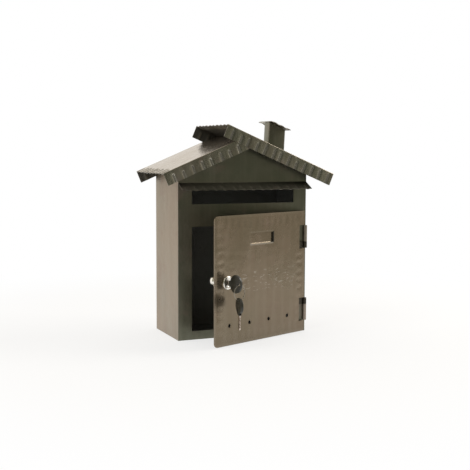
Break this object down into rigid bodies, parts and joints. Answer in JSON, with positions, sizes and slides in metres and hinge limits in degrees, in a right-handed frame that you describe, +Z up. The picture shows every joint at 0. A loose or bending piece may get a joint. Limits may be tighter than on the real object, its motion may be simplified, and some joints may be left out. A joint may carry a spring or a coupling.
{
  "type": "house-shaped wall mailbox",
  "caption": "House-shaped sheet steel mailbox with hammered edges, a mail slot under a drip hood, a chimney, and a lockable door drawn ajar with its keys.",
  "frame": {"origin": "middle of the box's underside, on the face it stands on", "axes": "+X to the right along the front, +Y from the front to the back, +Z up"},
  "size_m": [0.317, 0.2468, 0.3748],
  "materials": {
    "box_paint": "satin antiqued graphite paint on folded sheet",
    "roof_paint": "satin antiqued graphite paint on hammered sheet",
    "door_paint": "satin antiqued bronze paint on hammered sheet",
    "bright_metal": "nickel plated, lightly worn",
    "zinc_metal": "zinc plated steel",
    "key_plastic": "dark moulded plastic"
  },
  "bodies": {
    "box": {"body_wrap": "box_paint", "floor_pan": "box_paint", "front_panel": "box_paint", "gable_hood": "roof_paint", "roof_left": "roof_paint", "roof_right": "roof_paint", "chimney_tube": "box_paint", "chimney_cap": "roof_paint", "upper_box_leaf": "door_paint", "lower_box_leaf": "door_paint", "upper_hinge_pin": "zinc_metal", "lower_hinge_pin": "zinc_metal"},
    "door": {"door_panel": "door_paint", "upper_door_strap": "door_paint", "lower_door_strap": "door_paint", "lock_barrel": "bright_metal", "lock_nut": "zinc_metal"},
    "lock": {"lock_plug": "bright_metal", "lock_cam": "zinc_metal", "cam_screw": "zinc_metal"},
    "key": {"key_blade": "bright_metal", "key_head": "key_plastic"},
    "ring": {"key_ring": "zinc_metal"},
    "spare_key": {"spare_key_blade": "bright_metal", "spare_key_head": "key_plastic"}
  },
  "joints": [
    {"name": "door_hinge", "type": "hinge", "parent": "box", "child": "door", "pos_m": [0.1182, -0.0623, 0.105], "axis": [0, 0, 1], "range_deg": [-21.1, 143.9]},
    {"name": "lock_turn", "type": "hinge", "parent": "door", "child": "lock", "pos_m": [-0.05999, -0.13106, 0.106], "axis": [0.36, -0.933, 0], "range_deg": [0, 180]},
    {"name": "key_slide", "type": "slide", "parent": "lock", "child": "key", "axis": [0.36, -0.933, 0], "range_m": [0, 0.026]},
    {"name": "ring_swing", "type": "hinge", "parent": "key", "child": "ring", "pos_m": [-0.05002, -0.1569, 0.106], "axis": [-0.933, -0.36, 0], "range_deg": [-8, 80]},
    {"name": "spare_swing", "type": "hinge", "parent": "ring", "child": "spare_key", "pos_m": [-0.05002, -0.1569, 0.0806], "axis": [-0.933, -0.36, 0], "range_deg": [-8, 80]}
  ]
}
